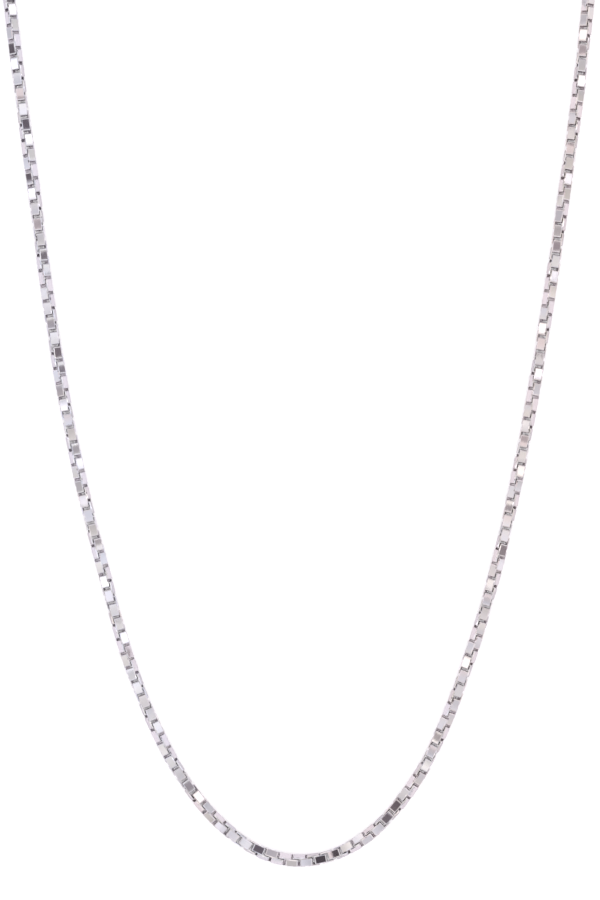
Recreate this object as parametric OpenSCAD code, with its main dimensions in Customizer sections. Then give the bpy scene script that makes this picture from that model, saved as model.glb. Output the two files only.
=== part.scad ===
// Box chain necklace, hung as it is worn: a long drape in front and a loop round the neck.
// Millimetres, +Z up, the drape faces -Y. The origin is where the middle of the back
// rests on the nape of the neck.

/* [Links] */
// Width of a link across the chain
link_w = 2.5; // [2.3:0.05:2.8]
// Length of a link along the chain
link_h = 2.6; // [2.4:0.05:2.9]
// Thickness of the flat strip that a link is bent from
strip_t = 0.38; // [0.3:0.01:0.42]
// Play along the chain between the end bars of two links that hold each other
end_play = 0.22; // [0.18:0.01:0.3]
// Play across the chain of an end bar in the link that holds it, both sides together
side_play = 0.49; // [0.48:0.01:0.6]
// Bevel on the four bends of a link
bend_bevel = 0.25; // [0.1:0.05:0.5]

/* [Drape] */
// Distance between the tops of the two arms, from chain centre to chain centre
arm_span = 124.2; // [100:0.5:140]
// Height of the arms above the lowest point of the chain
drape_drop = 185; // [150:0.5:210]
// Roundness of the turn at the bottom: a bigger value hangs wider
bottom_turn = 22; // [19:0.1:30]
// Length of each arm's top that belongs to the plain back of the chain
arm_top = 9.5; // [5:0.5:40]

/* [Neck loop] */
// Depth of the loop, from the nape of the neck to the plane of the drape
loop_depth = 70; // [50:1:100]
// Height of the nape above the tops of the arms
nape_rise = 42; // [25:1:60]
// How far each arm carries on upwards before it turns back
arm_reach = 40; // [25:1:60]
// How far the chain runs straight across the nape on each side
nape_reach = 50; // [30:1:65]

/* [Clasp] */
// Thickness of the wire of a jump ring and of the eye of the clasp
ring_wire = 0.7; // [0.5:0.05:0.75]
// Inside diameter of a jump ring
ring_bore = 3.2; // [3:0.1:5]
// Inside diameter of the eye of the clasp
eye_bore = 1.6; // [1.2:0.1:2.4]
// Thickness of the body of the clasp
clasp_wire = 1.5; // [1.1:0.1:1.8]
// Inside diameter of the body of the clasp
clasp_bore = 4.2; // [3:0.1:8]
// Thickness of the thumb stud of the clasp
stud_w = 1.2; // [0.8:0.1:1.4]
// Height of the thumb stud above the body of the clasp
stud_h = 0.8; // [0.4:0.1:1.5]
// Gap between rings that hold each other
ring_gap = 0.12; // [0.1:0.01:0.2]

/* [Hidden] */
$fn = 48;

strip_w = link_w - 2*strip_t - side_play;
free_pitch = link_h - 2*strip_t - end_play;

// Clasp at the nape, laid out from the left end link to the right one
ring_r = (ring_bore + ring_wire)/2;
eye_r = (eye_bore + ring_wire)/2;
clasp_r = (clasp_bore + clasp_wire)/2;
held_wire = link_h/2 - free_pitch + ring_gap + ring_wire/2;
link_to_ring = held_wire + ring_r;
ring_to_eye = ring_bore/2 - ring_gap + eye_bore/2;
eye_to_clasp = eye_r + clasp_r;
clasp_to_ring = clasp_bore/2 - ring_gap + ring_bore/2;
chain_gap = 2*link_to_ring + ring_to_eye + eye_to_clasp + clasp_to_ring;
left_ring_x = link_to_ring - chain_gap/2;
eye_x = left_ring_x + ring_to_eye;
clasp_x = eye_x + eye_to_clasp;
right_ring_x = clasp_x + clasp_to_ring;
seat_y = ring_r + ring_wire/2;

// Route of the chain on the wearer's side where x is positive, from the bottom of the
// drape to the last link at the nape. The drape is a catenary stretched upwards.
steps = 300;
half_span = arm_span/2;
front_y = seat_y - loop_depth;
top_z = -nape_rise;
top_u = (exp(half_span/bottom_turn) - exp(-half_span/bottom_turn))/2;
function sagged(u) = (sqrt(1 + u*u) - 1)/(sqrt(1 + top_u*top_u) - 1);
function drape(u) = [
    bottom_turn*ln(u + sqrt(1 + u*u)),
    front_y,
    top_z - drape_drop*(1 - sagged(u))
];
function unit(v) = v/norm(v);
arm_dir = unit(drape(top_u) - drape(top_u*(1 - 1/steps)));
loop_ctrl = [
    drape(top_u),
    drape(top_u) + arm_reach*arm_dir,
    [chain_gap/2 + nape_reach, seat_y, 0],
    [chain_gap/2, seat_y, 0]
];
function loop(t) = pow(1 - t, 3)*loop_ctrl[0] + 3*pow(1 - t, 2)*t*loop_ctrl[1]
    + 3*(1 - t)*t*t*loop_ctrl[2] + pow(t, 3)*loop_ctrl[3];
path = [
    for (i = [0:steps]) drape(top_u*i/steps),
    for (i = [1:steps]) loop(i/steps)
];
gaps = [for (i = [1:2*steps]) norm(path[i] - path[i-1])];
travel = [for (i = 0, s = 0; i <= 2*steps; s = s + (i < 2*steps ? gaps[i] : 0), i = i + 1) s];
drape_half = travel[steps];
route_half = travel[2*steps];
x_of = [for (i = [0:2*steps]) [travel[i], path[i].x]];
y_of = [for (i = [0:2*steps]) [travel[i], path[i].y]];
z_of = [for (i = [0:2*steps]) [travel[i], path[i].z]];

// A point of the chain, by its distance along the chain from the bottom of the drape:
// below 0 on the left of the picture, above 0 on the right
function on_chain(s) = [sign(s)*lookup(abs(s), x_of), lookup(abs(s), y_of), lookup(abs(s), z_of)];

// The links sit a whole number of steps from the bottom to the last one at the nape
half_links = round(route_half/free_pitch);
pitch = route_half/half_links;
front_half_links = floor((drape_half - arm_top)/pitch);
front_end = front_half_links*pitch + link_h/2;

// How the chain winds about itself on its way down the left arm and up the right one.
// Columns: share of the drape's length, quarter turns
winding = [
    [0, -0.8], [0.119, 1], [0.179, 2], [0.465, 8],
    [0.589, 11], [0.717, 14], [0.813, 16], [1, 19.6]
];
function quarter_turns(s) = lookup(0.5 + s/(2*drape_half), winding);

// The plain back of the chain is an eight-sided tube with a ring every few widths
tube_sides = 8;
tube_step = 2.4*link_w;
tube_r = link_w/2/cos(180/tube_sides);
never_along = [0, 1, -1];

// One square link, bent from a flat strip. Its end bars are at the top and the bottom,
// and its hole runs along X.
module link() {
    w = link_w/2;
    h = link_h/2;
    b = bend_bevel;
    outside = [[w-b, -h], [w, b-h], [w, h-b], [w-b, h], [b-w, h], [-w, h-b], [-w, b-h], [b-w, -h]];
    hole = [[w-strip_t, strip_t-h], [w-strip_t, h-strip_t], [strip_t-w, h-strip_t], [strip_t-w, strip_t-h]];
    rotate([90, 0, 90]) linear_extrude(strip_w, center = true)
        polygon(concat(outside, hole), [[0, 1, 2, 3, 4, 5, 6, 7], [8, 9, 10, 11]]);
}

// Every second link is turned a quarter, and the winding turns each a little further
module front_chain() {
    color("gainsboro")
    for (k = [-front_half_links:front_half_links]) {
        s = k*pitch;
        run = on_chain(s + pitch/2) - on_chain(s - pitch/2);
        translate(on_chain(s))
        rotate([0, 90 - atan2(run.z, run.x), 0])
        rotate([0, 0, 90*(abs(k) % 2) - 90*quarter_turns(s)])
            link();
    }
}

// Plain tube along the chain between two distances from the bottom
module tube(from, to) {
    rings = ceil((to - from)/tube_step);
    points = [
        for (i = [0:rings])
            let (s = from + (to - from)*i/rings, e = pitch/2)
            let (run = unit(on_chain(s + e) - on_chain(s - e)))
            let (side = unit(cross(run, never_along)), up = cross(side, run))
            for (j = [0:tube_sides-1])
                let (a = 360*(j + 0.5)/tube_sides)
                on_chain(s) + tube_r*(cos(a)*side + sin(a)*up)
    ];
    walls = [
        for (i = [0:rings-1], j = [0:tube_sides-1])
            let (a = i*tube_sides, n = (j + 1) % tube_sides)
            [a + j, a + n, a + tube_sides + n, a + tube_sides + j]
    ];
    start = [for (j = [tube_sides-1:-1:0]) j];
    finish = [for (j = [0:tube_sides-1]) rings*tube_sides + j];
    polyhedron(points, concat(walls, [start, finish]));
}

module back_chain() {
    color("gainsboro")
    for (m = [0, 1]) mirror([m, 0, 0]) {
        tube(front_end + ring_gap, route_half - link_h/2 - ring_gap);
        translate([chain_gap/2, seat_y, 0]) rotate([0, 90, 0]) rotate([0, 0, 90]) link();
    }
}

module wire_ring(r, wire) {
    rotate_extrude() translate([r, 0]) circle(d = wire);
}

module jump_ring_left() {
    color("silver") translate([left_ring_x, seat_y, 0]) wire_ring(ring_r, ring_wire);
}

module jump_ring_right() {
    color("silver") translate([right_ring_x, seat_y, 0]) wire_ring(ring_r, ring_wire);
}

// One plain piece: a round body, an eye for the left jump ring and a thumb stud
module clasp() {
    color("silver") translate([0, seat_y, 0]) rotate([90, 0, 0]) {
        translate([clasp_x, 0, 0]) wire_ring(clasp_r, clasp_wire);
        translate([eye_x, 0, 0]) wire_ring(eye_r, ring_wire);
        translate([clasp_x, clasp_r, 0]) rotate([-90, 0, 0])
            cylinder(d = stud_w, h = clasp_wire/2 + stud_h);
    }
}

front_chain();
back_chain();
jump_ring_left();
jump_ring_right();
clasp();
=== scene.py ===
# Box chain necklace in polished silver, hung as it is worn. Metres, +Z up, the drape faces -Y.
import math
import random

import bmesh
import bpy
import numpy as np
from mathutils import Matrix, Vector
from mathutils.geometry import interpolate_bezier


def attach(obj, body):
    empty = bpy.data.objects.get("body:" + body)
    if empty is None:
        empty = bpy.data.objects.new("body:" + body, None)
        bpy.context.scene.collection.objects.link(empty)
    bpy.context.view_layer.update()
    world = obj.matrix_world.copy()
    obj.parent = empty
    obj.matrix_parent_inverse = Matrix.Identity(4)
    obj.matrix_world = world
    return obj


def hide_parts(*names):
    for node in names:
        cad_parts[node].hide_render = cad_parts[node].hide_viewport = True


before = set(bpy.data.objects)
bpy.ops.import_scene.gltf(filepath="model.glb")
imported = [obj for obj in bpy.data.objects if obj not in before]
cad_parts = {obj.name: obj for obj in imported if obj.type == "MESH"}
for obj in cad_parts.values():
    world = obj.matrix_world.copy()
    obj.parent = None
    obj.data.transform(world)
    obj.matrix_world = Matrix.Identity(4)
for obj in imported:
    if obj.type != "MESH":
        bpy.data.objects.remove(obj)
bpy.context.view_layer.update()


# Camera. It stands level in front of the drape and looks at it through a long lens, so the
# chain is drawn with almost no perspective. In the 600 by 900 picture 1 mm is 4.64 pixels,
# and the lowest link hangs at lowest_px.
picture_w = 600
picture_h = 900
lowest_px = (298.7, 860.6)
px = 0.001 / 4.64
lens_mm = 150
sensor_mm = 36
lowest_z = -0.227
drape_y = -0.0677

camera_data = bpy.data.cameras.new("camera")
camera_data.lens = lens_mm
camera_data.sensor_width = sensor_mm
camera = bpy.data.objects.new("camera", camera_data)
camera.location = (
    (picture_w / 2 - lowest_px[0]) * px,
    drape_y - picture_h * px * lens_mm / sensor_mm,
    lowest_z + (lowest_px[1] - picture_h / 2) * px,
)
camera.rotation_euler = (math.radians(90), 0, 0)
bpy.context.scene.collection.objects.link(camera)
bpy.context.scene.camera = camera


# Silver. The chain is polished sterling silver: nearly a mirror outside, duller inside each
# link, where the polishing wheel doesn't reach, and darker there as painted shade for the
# hollows between the links. Every link has its own faint tint, on top of a painted reflection
# that runs from cool at the left arm to warm and darker at the right one, and the faces are
# not quite flat, which breaks the reflections up from link to link.
class Flow:
    """One value in a shader. Sums on it add their own Math nodes."""

    def __init__(self, tree, socket=None):
        self.tree = tree
        self.socket = socket

    def node(self, kind, settings, sockets, out=0):
        made = self.tree.nodes.new("ShaderNode" + kind)
        for name, value in settings.items():
            setattr(made, name, value)
        for name, value in sockets.items():
            if isinstance(value, Flow):
                self.tree.links.new(value.socket, made.inputs[name])
            else:
                made.inputs[name].default_value = value
        return Flow(self.tree, made.outputs[out])

    def math(self, operation, first, second):
        return self.node("Math", {"operation": operation}, {0: first, 1: second})

    def __add__(self, other):
        return self.math("ADD", self, other)

    def __radd__(self, other):
        return self.math("ADD", other, self)

    def __sub__(self, other):
        return self.math("SUBTRACT", self, other)

    def __rsub__(self, other):
        return self.math("SUBTRACT", other, self)

    def __mul__(self, other):
        return self.math("MULTIPLY", self, other)

    def __rmul__(self, other):
        return self.math("MULTIPLY", other, self)


def mix(flow, share, first, second):
    """Colour that goes from first to second as share goes from 0 to 1."""
    return flow.node("Mix", {"data_type": "RGBA"}, {0: share, 6: first, 7: second}, out=2)


# The fine wear and the longer waves of a polished face, counted by the metre, the depth of the
# waves, and how rough the silver is: when polished, from wear, and where the wheel didn't reach
wear_per_m = 1400.0
waves_per_m = 420.0
wave_depth = 0.000008
polished_rough = 0.03
worn_rough = 0.05
dull_rough = 0.25


def silver(name, cool, warm, dull_shade_cool, dull_shade_warm):
    """Polished silver. A per-face value takes it from cool to warm, partly a painted reflection,
    and the inside mark makes it dull and darker, partly painted shade.
    """
    made = bpy.data.materials.new(name)
    made.use_nodes = True
    flow = Flow(made.node_tree)
    place = flow.node("TexCoord", {}, {}, out="Object")
    tint_and_painted_reflection = flow.node("Attribute", {"attribute_name": "tint_and_painted_reflection"}, {}, out="Fac")
    inside = flow.node("Attribute", {"attribute_name": "inside"}, {}, out="Fac")
    wear = flow.node("TexNoise", {}, {"Vector": place, "Scale": wear_per_m, "Detail": 3.0})
    waves = flow.node("TexNoise", {}, {"Vector": place, "Scale": waves_per_m, "Detail": 1.0})
    # Each link's own random tone, plus a painted reflection: the right arm is warmer and darker
    polished = mix(flow, tint_and_painted_reflection, (*cool, 1), (*warm, 1))
    dull_and_shade = mix(flow, tint_and_painted_reflection, (*dull_shade_cool, 1), (*dull_shade_warm, 1))
    # Inside faces are duller by finish and darker as painted shade for the hollows between links
    colour = mix(flow, inside * (0.75 + 0.5 * wear), polished, dull_and_shade)
    rough = polished_rough + worn_rough * wear + dull_rough * inside
    bump = flow.node("Bump", {}, {
        "Strength": 1.0, "Distance": wave_depth, "Height": waves + 0.3 * wear,
    })
    shader = made.node_tree.nodes["Principled BSDF"]
    shader.inputs["Metallic"].default_value = 1.0
    made.node_tree.links.new(colour.socket, shader.inputs["Base Color"])
    made.node_tree.links.new(rough.socket, shader.inputs["Roughness"])
    made.node_tree.links.new(bump.socket, shader.inputs["Normal"])
    return made


chain_silver = silver(
    "chain_silver", cool=(0.91, 0.91, 0.96), warm=(0.94, 0.88, 0.87),
    dull_shade_cool=(0.685, 0.66, 0.70), dull_shade_warm=(0.715, 0.66, 0.665),
)


# Front of the chain. Each link is a flat silver strip bent into a square, its ends soldered and
# its outer edges rounded off by tumbling. Every second link is turned a quarter and goes
# through its neighbours. The chain hangs in a catenary and winds slowly about itself.
link_w = 0.0023
link_h = 0.00276
strip_t = 0.00028
strip_w = 0.00172
bend_r = 0.00032
edge_r = 0.00014

# The way that the chain goes, as the solids have it: the drape, then the loop round the neck
arm_span = 0.1242
drape_drop = 0.185
bottom_turn = 0.022
loop_depth = 0.070
nape_rise = 0.042
arm_reach = 0.040
nape_reach = 0.050
chain_gap = 0.01406
steps = 300
seat_y = drape_y + loop_depth
top_u = math.sinh(arm_span / 2 / bottom_turn)


def drape_point(u):
    """A point of the drape: a catenary stretched upwards."""
    sag = (math.hypot(1, u) - 1) / (math.hypot(1, top_u) - 1)
    return Vector((bottom_turn * math.asinh(u), drape_y, -nape_rise - drape_drop * (1 - sag)))


drape = [drape_point(top_u * i / steps) for i in range(steps + 1)]
arm_dir = (drape[-1] - drape[-2]).normalized()
chain_end = Vector((chain_gap / 2, seat_y, 0))
loop = interpolate_bezier(
    drape[-1], drape[-1] + arm_reach * arm_dir,
    chain_end + Vector((nape_reach, 0, 0)), chain_end, steps + 1,
)
path = np.array([*drape, *loop[1:]])
travel = np.concatenate([[0], np.cumsum(np.linalg.norm(np.diff(path, axis=0), axis=1))])
drape_half = travel[steps]
route_half = travel[-1]


# How far the drape hangs outside a true catenary. Columns: share of the drape's length,
# millimetres outwards
strays = [
    (0, 0.2), (0.05, 0), (0.1, -0.3), (0.16, 0), (0.21, 0.1), (0.255, 0), (0.305, -0.4),
    (0.35, 0), (0.41, 0.05), (0.46, -0.25), (0.505, 0), (0.545, 0.45), (0.585, 0.55),
    (0.64, 0), (0.7, 0), (0.83, -0.15), (0.905, 0), (0.95, 0.3), (1, 0.3),
]
stray_at = [-route_half, *((2 * share - 1) * drape_half for share, out in strays), route_half]
stray_by = [0, *(out / 1000 for share, out in strays), 0]
ahead = np.gradient(path, travel, axis=0)
outward = np.column_stack([ahead[:, 2], -ahead[:, 0]])


def on_chain(s):
    """A point of the chain, s metres along it from the lowest one: left is below 0."""
    columns = (*path.T, *outward.T)
    x, y, z, out_x, out_z = (float(np.interp(abs(s), travel, column)) for column in columns)
    stray = float(np.interp(s, stray_at, stray_by))
    return Vector((math.copysign(x + stray * out_x, s), y, z + stray * out_z))


# Where the links are along the chain. They hang a little closer together round the bottom,
# where the chain is slack, than in the arms. Columns: share of the drape's length, links
# counted from the lowest one.
spacing = [
    (0, -126.0), (0.158, -87.2), (0.315, -47.7), (0.473, -7.2),
    (0.578, 20.6), (0.756, 66.5), (1, 127.4),
]
first_link = -199
last_link = 201
link_at = [-route_half, *((2 * share - 1) * drape_half for share, links in spacing), route_half]
links_at = [first_link, *(links for share, links in spacing), last_link]

# How the chain winds about itself. Past the drape it winds on at much the same rate, until
# the hole of the last link faces back. Columns: share of the drape's length, quarter turns.
winding = [
    (0, -0.75), (0.12, 1), (0.175, 2), (0.222, 3), (0.276, 4), (0.321, 5),
    (0.373, 6), (0.422, 7), (0.466, 8), (0.515, 9), (0.552, 10), (0.591, 11),
    (0.635, 12), (0.718, 14), (0.762, 15), (0.812, 16), (0.868, 17), (1, 19.6),
]
nape_turns = (-9.2, 28.8)
turn_at = [-route_half, *((2 * share - 1) * drape_half for share, turns in winding), route_half]
turns_at = [nape_turns[0], *(turns for share, turns in winding), nape_turns[1]]


def link_run(k):
    """Where the link numbered k is along the chain, and the way that the chain runs there."""
    s, before, after = (float(np.interp(n, links_at, link_at)) for n in (k, k - 0.5, k + 0.5))
    return s, (on_chain(after) - on_chain(before)).normalized()


# The way that the back of each link would face if the chain didn't wind, carried along it
# from the bottom to the nape
backs = {0: Vector((0, 1, 0))}
for numbers in (range(1, last_link + 1), range(-1, first_link - 1, -1)):
    back = backs[0]
    for k in numbers:
        run = link_run(k)[1]
        back = (back - back.dot(run) * run).normalized()
        backs[k] = back


def link_place(k):
    """Where the link numbered k goes, with its end bars along its own Z."""
    s, run = link_run(k)
    side = backs[k].cross(run).normalized()
    frame_axes = Matrix((side, run.cross(side), run)).transposed()
    wound = math.radians(90 * (k % 2) - 90 * float(np.interp(s, turn_at, turns_at)))
    return Matrix.Translation(on_chain(s)) @ frame_axes.to_4x4() @ Matrix.Rotation(wound, 4, "Z")


def is_bend(e):
    """Whether an edge of the square strip runs along one of its four outer corners."""
    at_corner = all(
        abs(v.co.y) > link_w / 2 - strip_t / 2 and abs(v.co.z) > link_h / 2 - strip_t / 2
        for v in e.verts
    )
    return at_corner and abs(e.verts[0].co.x - e.verts[1].co.x) > strip_w / 2


def is_rim(e):
    """Whether an edge lies between the strip's outside and its cut side."""
    return any(abs(f.normal.x) > 0.9 for f in e.link_faces) and any(
        abs(f.normal.x) < 0.1 and f.normal.dot(f.calc_center_median()) > 0
        for f in e.link_faces
    )


def square_link():
    """One link at the origin: its hole runs along X and its end bars are at the top and bottom."""
    bm = bmesh.new()
    bmesh.ops.create_cube(bm, size=1)
    bmesh.ops.scale(bm, vec=(strip_w, link_w, link_h), verts=bm.verts)
    ends = [f for f in bm.faces if abs(f.normal.x) > 0.5]
    bmesh.ops.inset_individual(bm, faces=ends, thickness=strip_t, use_even_offset=True)
    rims = list({e for f in ends for e in f.edges})
    bmesh.ops.delete(bm, geom=ends, context="FACES_ONLY")
    bmesh.ops.bridge_loops(bm, edges=rims)
    bmesh.ops.bevel(
        bm, geom=[e for e in bm.edges if is_bend(e)], offset=bend_r, segments=3,
        profile=0.5, affect="EDGES", material=-1, clamp_overlap=True,
    )
    bmesh.ops.recalc_face_normals(bm, faces=bm.faces)
    bmesh.ops.bevel(
        bm, geom=[e for e in bm.edges if is_rim(e)], offset=edge_r, segments=1,
        profile=0.5, affect="EDGES", material=-1, clamp_overlap=True,
    )
    for e in bm.edges:
        e.smooth = e.calc_face_angle() < math.radians(40)
    inside = bm.faces.layers.float.new("inside")
    bm.faces.layers.float.new("tint_and_painted_reflection")
    for f in bm.faces:
        f.smooth = True
        # Inner faces get the inside mark: a duller finish, and darker colour as painted shade
        facing = f.normal.dot(f.calc_center_median())
        f[inside] = 1.0 if abs(f.normal.x) < 0.1 and (facing < 0 or abs(f.normal.z) > 0.9) else 0.0
    mesh = bpy.data.meshes.new("square_link")
    bm.to_mesh(mesh)
    bm.free()
    return mesh


# Each link sits a little out of line, and its tint strays from the chain's, which goes from
# cool at the left arm to warm and darker at the right one, a painted reflection
one_link = square_link()
chance = random.Random(7)
sway = math.radians(0.35)
tint_stray = 0.25


def chain_of(name, numbers):
    """One piece made of the links that have these numbers."""
    bm = bmesh.new()
    for k in numbers:
        bm.from_mesh(one_link)
        bm.verts.ensure_lookup_table()
        bm.faces.ensure_lookup_table()
        fresh = bm.verts[-len(one_link.vertices):]
        where = link_place(k)
        wobble = [Matrix.Rotation(chance.gauss(0, sway), 4, axis) for axis in "XYZ"]
        bmesh.ops.transform(bm, matrix=where @ wobble[0] @ wobble[1] @ wobble[2], verts=fresh)
        tint_and_painted_reflection = bm.faces.layers.float["tint_and_painted_reflection"]
        # Cool at the left and warm and darker at the right is painted reflection; the stray is
        # real tone
        shade = 0.5 + where.translation.x / arm_span + chance.gauss(0, tint_stray)
        for f in bm.faces[-len(one_link.polygons):]:
            f[tint_and_painted_reflection] = min(max(shade, 0), 1)
    mesh = bpy.data.meshes.new(name)
    bm.to_mesh(mesh)
    bm.free()
    piece = bpy.data.objects.new(name, mesh)
    bpy.context.scene.collection.objects.link(piece)
    piece.data.materials.append(chain_silver)
    even = piece.modifiers.new("even_faces", "WEIGHTED_NORMAL")
    even.keep_sharp = True
    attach(piece, "root")
    return piece


front_numbers = range(-120, 122)
front_links = chain_of("front_chain_links", front_numbers)
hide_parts("front_chain")


# Back of the chain. The same links go on round the neck on both sides, and the last link of
# each side holds a jump ring.
back_numbers = [k for k in range(first_link, last_link + 1) if k not in front_numbers]
back_links = chain_of("back_chain_links", back_numbers)
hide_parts("back_chain")
bpy.data.meshes.remove(one_link)


# Clasp and jump rings. They are silver wire bent and soldered, polished with the chain. Each is
# the solid's own shape with its many small faces blended into round wire.
clasp_silver = silver(
    "clasp_silver", cool=(0.86, 0.85, 0.87), warm=(0.86, 0.85, 0.87),
    dull_shade_cool=(0.5, 0.48, 0.5), dull_shade_warm=(0.5, 0.48, 0.5),
)


def round_wire(name, node):
    """The piece called name: a smooth copy of a CAD node, which it stands for."""
    bm = bmesh.new()
    bm.from_mesh(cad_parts[node].data)
    bmesh.ops.remove_doubles(bm, verts=bm.verts, dist=0.000002)
    for f in bm.faces:
        f.smooth = True
    for e in bm.edges:
        e.smooth = e.is_manifold and e.calc_face_angle() < math.radians(30)
    mesh = bpy.data.meshes.new(name)
    bm.to_mesh(mesh)
    bm.free()
    piece = bpy.data.objects.new(name, mesh)
    bpy.context.scene.collection.objects.link(piece)
    mesh.materials.append(clasp_silver)
    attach(piece, "root")
    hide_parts(node)


round_wire("left_ring", "jump_ring_left")
round_wire("right_ring", "jump_ring_right")
round_wire("round_clasp", "clasp")


# Floor and backdrop: one sheet of white paper that lies flat under the necklace, turns up in
# a wide curve and stands well behind it. It is lit so brightly that it shows as plain white.
floor_z = lowest_z - 0.10
paper_half_w = 3.0
paper_front = 3.0
wall_y = 2.2
sweep_r = 0.8
wall_h = 3.0


def pulled(bm, edge, by):
    """The far edge of the strip that an edge leaves when it is pulled by a vector."""
    made = bmesh.ops.extrude_edge_only(bm, edges=[edge])["geom"]
    bmesh.ops.translate(bm, vec=by, verts=[g for g in made if isinstance(g, bmesh.types.BMVert)])
    return next(g for g in made if isinstance(g, bmesh.types.BMEdge))


bm = bmesh.new()
corners = [bm.verts.new((x, -paper_front, floor_z)) for x in (-paper_half_w, paper_half_w)]
edge = bm.edges.new(corners)
edge = pulled(bm, edge, (0, paper_front + wall_y - sweep_r, 0))
turned = bmesh.ops.spin(
    bm, geom=[edge, *edge.verts], cent=(0, wall_y - sweep_r, floor_z + sweep_r), axis=(1, 0, 0),
    angle=math.radians(90), steps=24,
)["geom_last"]
edge = next(g for g in turned if isinstance(g, bmesh.types.BMEdge))
pulled(bm, edge, (0, 0, wall_h))
bmesh.ops.remove_doubles(bm, verts=bm.verts, dist=0.0001)
for f in bm.faces:
    f.smooth = True
paper_mesh = bpy.data.meshes.new("paper")
bm.to_mesh(paper_mesh)
bm.free()
paper = bpy.data.objects.new("paper", paper_mesh)
bpy.context.scene.collection.objects.link(paper)
white = bpy.data.materials.new("white_paper")
white.use_nodes = True
white_shader = white.node_tree.nodes["Principled BSDF"]
white_shader.inputs["Base Color"].default_value = (0.9, 0.9, 0.9, 1)
white_shader.inputs["Roughness"].default_value = 0.9
paper_mesh.materials.append(white)
paper.visible_glossy = False


# Board. The drape hangs just in front of a white card, which closes the gaps between its links.
# The card shows on its front alone, so the necklace can be looked at from behind. The silver
# sees a grey card in its place, painted shade in the reflections, which keeps the links' sides
# from washing out.
board_half_w = 0.075
board_top = -0.040
board_bottom = lowest_z - 0.012
board_y = drape_y + 0.0015


def board(name, colour):
    """The board in one colour, clear from behind."""
    bm = bmesh.new()
    corners = [bm.verts.new((x, board_y, board_bottom)) for x in (-board_half_w, board_half_w)]
    pulled(bm, bm.edges.new(corners), (0, 0, board_top - board_bottom))
    bm.normal_update()
    bmesh.ops.reverse_faces(bm, faces=[f for f in bm.faces if f.normal.y > 0])
    mesh = bpy.data.meshes.new(name)
    bm.to_mesh(mesh)
    bm.free()
    made = bpy.data.objects.new(name, mesh)
    bpy.context.scene.collection.objects.link(made)
    card = bpy.data.materials.new(name)
    card.use_nodes = True
    flow = Flow(card.node_tree)
    behind = flow.node("NewGeometry", {}, {}, out="Backfacing")
    front = flow.node("BsdfDiffuse", {}, {"Color": (*colour, 1)})
    clear = flow.node("BsdfTransparent", {}, {})
    shown = flow.node("MixShader", {}, {0: behind, 1: front, 2: clear})
    surface = card.node_tree.nodes["Material Output"].inputs["Surface"]
    card.node_tree.links.new(shown.socket, surface)
    mesh.materials.append(card)
    return made


white_board = board("white_board", (0.9, 0.9, 0.9))
white_board.visible_glossy = False
# The grey card is painted shade that only the silver's reflections show
grey_board = board("grey_board", (0.53, 0.505, 0.53))
grey_board.visible_camera = False
grey_board.visible_diffuse = False
grey_board.visible_shadow = False


# Light. The necklace hangs in a tent of white cloth, which only the silver sees: its folds are
# brighter and greyer by turns, lamps shine through it and here and there the dark room shows
# between its edges. Soft panels and a pale world light the paper and the board.
tent_r = 1.6
middle_h = 0.09
middle = Vector((0, drape_y, lowest_z + middle_h))

bm = bmesh.new()
bmesh.ops.create_uvsphere(bm, u_segments=48, v_segments=24, radius=tent_r)
bmesh.ops.reverse_faces(bm, faces=bm.faces)
bmesh.ops.translate(bm, vec=middle, verts=bm.verts)
tent_mesh = bpy.data.meshes.new("tent")
bm.to_mesh(tent_mesh)
bm.free()
tent = bpy.data.objects.new("tent", tent_mesh)
bpy.context.scene.collection.objects.link(tent)
tent.visible_camera = False
tent.visible_diffuse = False
tent.visible_shadow = False
tent.visible_transmission = False

# Openings between the folds. Columns: degrees to the right of the camera and above it as the
# chain sees them, half width in degrees, brightness
openings = [
    (-5, 11, 2.8, 0.08), (4, -22, 5, 0.1), (-2, -5, 2.5, 0.2), (21, 28, 6, 0.25),
    (-30, 17, 4.5, 0.25), (30, 12, 3, 0.2), (39, 8.5, 2.8, 0.23), (70, 11, 1.6, 0.3),
    (49, -12.5, 2.5, 0.32), (-48, 7.5, 2, 0.33), (-20, 1, 2, 0.4), (-75, 1, 4, 0.15),
    (-1, 5, 2.2, 0.45), (14, 2, 2.2, 0.4), (-11, 5, 2, 0.55), (-11, 11.5, 2, 0.5),
    (49, 11, 1.8, 0.45), (-43, 13, 1.8, 0.45), (-31, 9.5, 2.2, 0.6), (34, 57, 6, 0.6),
    (-63, -10, 5, 0.5), (-12, 0, 2, 0.7), (73, 17, 2.5, 0.7), (22, -11, 6, 0.75),
    (170, 12, 7, 0.1), (-155, -14, 6, 0.15), (-140, 20, 7, 0.3), (120, 30, 10, 0.3),
    (-170, 50, 14, 0.3), (140, -25, 8, 0.3),
]

# Lamps behind the cloth, with the same columns
lamps = [
    (43, 0, 6, 1.6), (51, 15.5, 3, 1.6), (-38.5, 14, 2, 1.6), (76, 11, 2.5, 1.6),
    (64.5, 12, 2.5, 1.6), (-41, 8.5, 2.5, 1.6), (-54, 2.5, 3.5, 1.6), (-36, -6.5, 4, 1.6),
    (42, 22, 3, 1.6), (52, -8.5, 2.2, 1.6), (-48, -13, 3, 1.6), (-66, 12.5, 4, 1.4),
    (68, -21, 20, 1.2), (145, 5, 5, 1.6), (-120, -5, 5, 1.6),
]

# The cloth is cool or warm by turns, has a blush near the camera and is purple where it is dim.
# A patch has a soft edge, patch_blur of its half width to each side. The hues are one slice of
# a pattern that has many.
folds_per_m = 2.2
hues_per_m = 2.6
hues_slice = 5.0
dim_fold = 0.57
bright_fold = 1.02
cool_cloth = (0.93, 0.925, 1.0, 1)
warm_cloth = (1.0, 0.965, 0.94, 1)
blush_cloth = (1.0, 0.90, 0.91, 1)
dim_cloth = (1.0, 0.84, 0.97, 1)
patch_blur = 0.2

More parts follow.
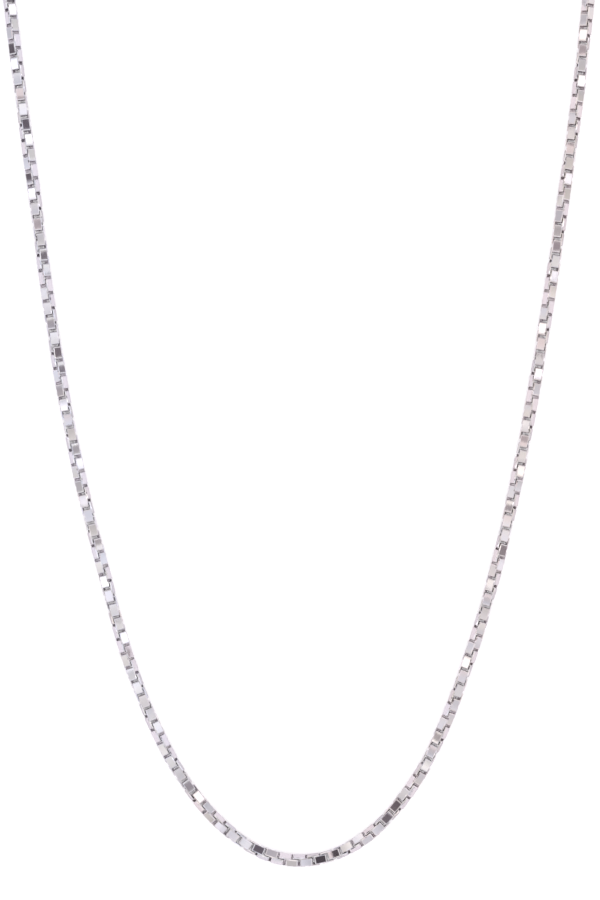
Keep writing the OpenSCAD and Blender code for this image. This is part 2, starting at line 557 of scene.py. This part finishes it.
cloth = bpy.data.materials.new("tent_cloth")
cloth.use_nodes = True
flow = Flow(cloth.node_tree)
place = flow.node("TexCoord", {}, {}, out="Object")
folds = flow.node("TexNoise", {}, {
    "Vector": place, "Scale": folds_per_m, "Detail": 1.0, "Roughness": 0.5,
})
hues = flow.node("TexNoise", {"noise_dimensions": "4D"}, {
    "Vector": place, "W": hues_slice, "Scale": hues_per_m, "Detail": 0.0,
})
glow = flow.node("MapRange", {}, {
    "Value": folds, "From Min": 0.36, "From Max": 0.66, "To Min": dim_fold, "To Max": bright_fold,
})
warmth = flow.node("MapRange", {}, {"Value": hues, "From Min": 0.4, "From Max": 0.6})


def patch(right, up, size, inside_value):
    """A value that is inside_value in a round patch of the tent and 1 outside it."""
    towards = Vector((0, -tent_r, 0))
    towards.rotate(Matrix.Rotation(math.radians(-up), 3, "X"))
    towards.rotate(Matrix.Rotation(math.radians(right), 3, "Z"))
    away = flow.node(
        "VectorMath", {"operation": "DISTANCE"}, {0: place, 1: middle + towards}, out="Value"
    )
    reach = tent_r * math.radians(size)
    return flow.node("MapRange", {}, {
        "Value": away, "To Min": inside_value,
        "From Min": (1 - patch_blur) * reach, "From Max": (1 + patch_blur) * reach,
    })


for right, up, size, bright in openings + lamps:
    glow = glow * patch(right, up, size, bright)
brightness = flow.node("MapRange", {}, {"Value": glow, "From Min": 0.1, "From Max": 0.6})
hue = mix(flow, warmth, cool_cloth, warm_cloth)
hue = mix(flow, patch(right=-8, up=7, size=8, inside_value=0), blush_cloth, hue)
hue = mix(flow, brightness, dim_cloth, hue)
lit = flow.node("VectorMath", {"operation": "SCALE"}, {0: hue, "Scale": glow})
cloth_shader = cloth.node_tree.nodes["Principled BSDF"]
cloth_shader.inputs["Base Color"].default_value = (0, 0, 0, 1)
cloth_shader.inputs["Specular IOR Level"].default_value = 0
cloth_shader.inputs["Emission Strength"].default_value = 1
cloth.node_tree.links.new(lit.socket, cloth_shader.inputs["Emission Color"])
tent_mesh.materials.append(cloth)


def panel(name, place, size, glow):
    """A soft panel of that size that looks at the drape. At a glow of 1 it is plain white."""
    light = bpy.data.lights.new(name, "AREA")
    light.shape = "RECTANGLE"
    light.size, light.size_y = size
    light.energy = glow * math.pi * size[0] * size[1]
    made = bpy.data.objects.new(name, light)
    facing = (middle - Vector(place)).to_track_quat("-Z", "Y")
    made.matrix_world = Matrix.Translation(place) @ facing.to_matrix().to_4x4()
    made.visible_glossy = False
    bpy.context.scene.collection.objects.link(made)


panel("left_panel", (-0.95, -0.30, -0.75), (0.5, 0.4), 1.3)
panel("right_panel", (1.0, -0.20, 0.75), (0.5, 0.4), 1.2)
panel("top_panel", (0, -0.2, 0.95), (0.8, 0.5), 1.6)

world = bpy.data.worlds.new("pale")
world.use_nodes = True
sky = world.node_tree.nodes["Background"]
sky.inputs["Color"].default_value = (1.0, 0.98, 1.0, 1)
sky.inputs["Strength"].default_value = 1.7
bpy.context.scene.world = world
bpy.context.scene.view_settings.view_transform = "Standard"
